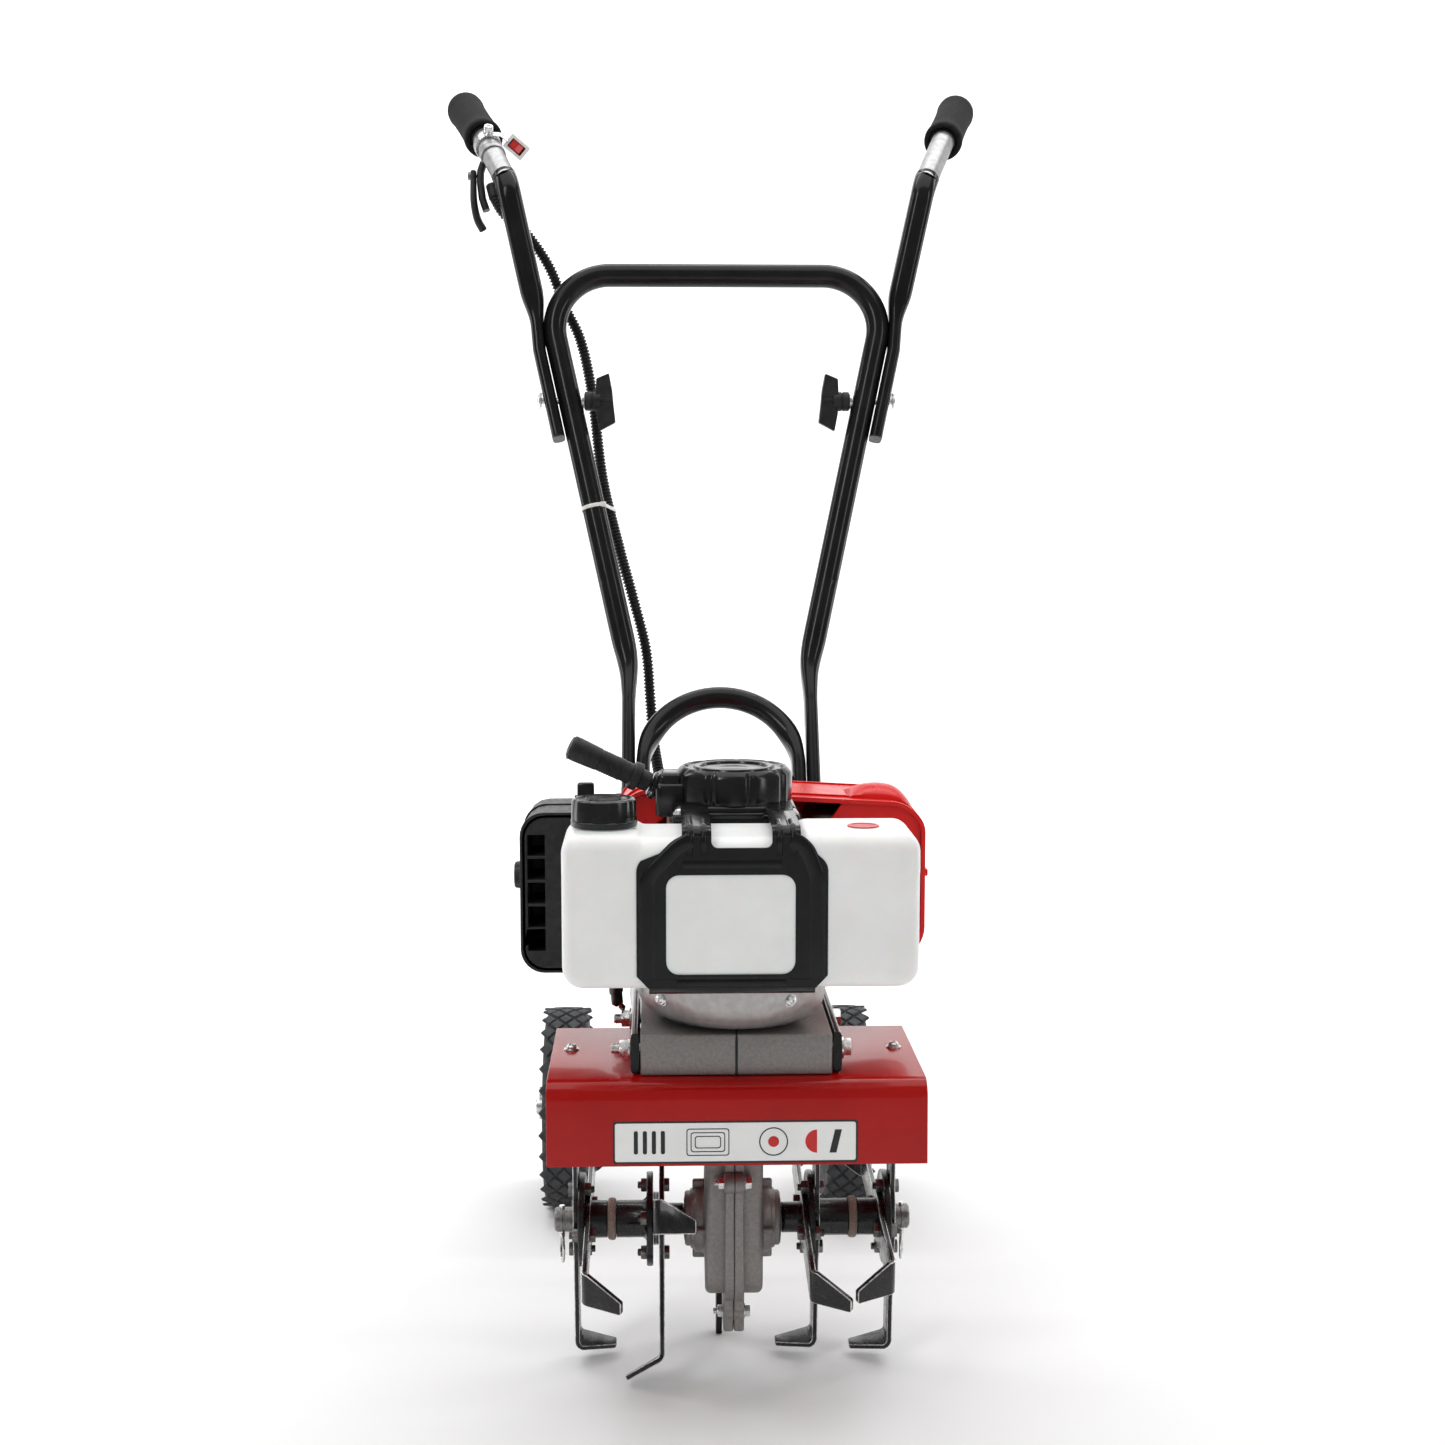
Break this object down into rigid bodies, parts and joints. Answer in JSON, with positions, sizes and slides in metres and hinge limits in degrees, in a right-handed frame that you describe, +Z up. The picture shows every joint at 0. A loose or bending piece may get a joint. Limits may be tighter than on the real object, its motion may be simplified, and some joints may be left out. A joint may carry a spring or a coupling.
{
  "type": "mini cultivator",
  "caption": "Small petrol garden cultivator: an upright engine on a worm gearbox drives bent tine bars under a fender, with a tubular handle and transport wheels.",
  "frame": {"origin": "centre of the footprint on the ground, under the middle of the bounding box", "axes": "+X to the machine's right as seen from in front, +Y back towards the grips, +Z up"},
  "size_m": [0.5416, 0.7996, 1.094],
  "materials": {
    "bright_steel": "zinc plated",
    "black_paint": "gloss",
    "brass": "machined",
    "dark_steel": "dark",
    "cast_metal": "as cast, blasted",
    "red_paint": "gloss",
    "red_plastic": "gloss",
    "black_plastic": "satin",
    "white_plastic": "translucent satin",
    "grip_rubber": "matte",
    "tyre_rubber": "matte"
  },
  "bodies": {
    "root": {"block_bolt_front": "bright_steel", "block_bolt_rear": "bright_steel", "handle_bolt_left": "bright_steel", "handle_bolt_right": "bright_steel", "switch_clamp": "bright_steel", "wheel_axle": "bright_steel", "tank_guard": "black_paint", "frame_arch": "black_paint", "handle_hoop": "black_paint", "handlebar_left": "black_paint", "handlebar_right": "black_paint", "wheel_bracket": "black_paint", "muffler": "dark_steel", "gearbox_left": "cast_metal", "gearbox_right": "cast_metal", "fan_housing": "cast_metal", "crankcase": "cast_metal", "cylinder": "cast_metal", "carburettor": "cast_metal", "fender": "red_paint", "cylinder_shroud": "red_plastic", "spark_plug_boot": "black_plastic", "air_filter_housing": "black_plastic", "recoil_cover": "black_plastic", "throttle_bracket": "black_plastic", "switch_body": "black_plastic", "cable_conduit": "black_plastic", "stop_lead": "black_plastic", "fuel_tank": "white_plastic", "grip_left": "grip_rubber", "grip_right": "grip_rubber"},
    "tines": {"tine_shaft": "bright_steel", "worm_wheel": "brass", "hub_left_outer": "black_paint", "hub_left_inner": "black_paint", "hub_right_inner": "black_paint", "hub_right_outer": "black_paint", "tines_left_outer_a": "black_paint", "tines_left_outer_b": "black_paint", "tines_left_inner_a": "black_paint", "tines_left_inner_b": "black_paint", "tines_right_inner_a": "black_paint", "tines_right_inner_b": "black_paint", "tines_right_outer_a": "black_paint", "tines_right_outer_b": "black_paint"},
    "worm": {"worm_shaft": "bright_steel", "clutch_drum": "dark_steel"},
    "crank": {"crankshaft": "dark_steel"},
    "wheel_left": {"tyre_left": "tyre_rubber", "rim_left": "black_plastic"},
    "wheel_right": {"tyre_right": "tyre_rubber", "rim_right": "black_plastic"},
    "knob_left": {"knob_left": "black_plastic"},
    "knob_right": {"knob_right": "black_plastic"},
    "throttle_lever": {"throttle_lever": "black_plastic"},
    "switch_rocker": {"switch_rocker": "red_plastic"},
    "starter_handle": {"starter_handle": "black_plastic"},
    "fuel_cap": {"fuel_cap": "black_plastic"},
    "choke_lever": {"choke_lever": "black_plastic"},
    "depth_stake": {"depth_stake": "black_paint"}
  },
  "joints": [
    {"name": "tine_spin", "type": "hinge", "parent": "root", "child": "tines", "pos_m": [0, -0.21732, 0.12], "axis": [1, 0, 0], "continuous": true},
    {"name": "worm_spin", "type": "hinge", "parent": "root", "child": "worm", "pos_m": [0, -0.24532, 0.203], "axis": [0, 0, 1], "continuous": true},
    {"name": "crank_spin", "type": "hinge", "parent": "root", "child": "crank", "pos_m": [0, -0.24532, 0.353], "axis": [0, 0, 1], "continuous": true},
    {"name": "wheel_left_spin", "type": "hinge", "parent": "root", "child": "wheel_left", "pos_m": [-0.1455, 0.16168, 0.095], "axis": [1, 0, 0], "continuous": true},
    {"name": "wheel_right_spin", "type": "hinge", "parent": "root", "child": "wheel_right", "pos_m": [0.1215, 0.16168, 0.095], "axis": [1, 0, 0], "continuous": true},
    {"name": "knob_left_turn", "type": "hinge", "parent": "root", "child": "knob_left", "pos_m": [-0.125, 0.1839, 0.771], "axis": [1, 0, 0], "continuous": true},
    {"name": "knob_right_turn", "type": "hinge", "parent": "root", "child": "knob_right", "pos_m": [0.125, 0.1839, 0.771], "axis": [1, 0, 0], "continuous": true},
    {"name": "throttle_squeeze", "type": "hinge", "parent": "root", "child": "throttle_lever", "pos_m": [-0.233, 0.25268, 0.989], "axis": [1, 0, 0], "range_deg": [0, 28], "stiffness_Nm_per_rad": 0.15, "springref_deg": -8.59},
    {"name": "switch_rock", "type": "hinge", "parent": "root", "child": "switch_rocker", "pos_m": [-0.19233, 0.26774, 1.01883], "axis": [0.6428, 0, 0.766], "range_deg": [-8, 8]},
    {"name": "starter_pull", "type": "slide", "parent": "root", "child": "starter_handle", "axis": [-0.8978, -0.102, 0.4285], "range_m": [0, 0.6], "stiffness_N_per_m": 8, "springref_m": -0.15},
    {"name": "fuel_cap_turn", "type": "hinge", "parent": "root", "child": "fuel_cap", "pos_m": [-0.094, -0.35232, 0.461], "axis": [0, 0, 1], "continuous": true},
    {"name": "choke_turn", "type": "hinge", "parent": "root", "child": "choke_lever", "pos_m": [-0.113, -0.18232, 0.4445], "axis": [1, 0, 0], "range_deg": [-55, 0]},
    {"name": "stake_slide", "type": "slide", "parent": "root", "child": "depth_stake", "axis": [0, 0, -1], "range_m": [-0.08, 0.05]}
  ],
  "couplings": [
    {"joint": "worm_spin", "follows": "tine_spin", "ratio": 28}
  ]
}
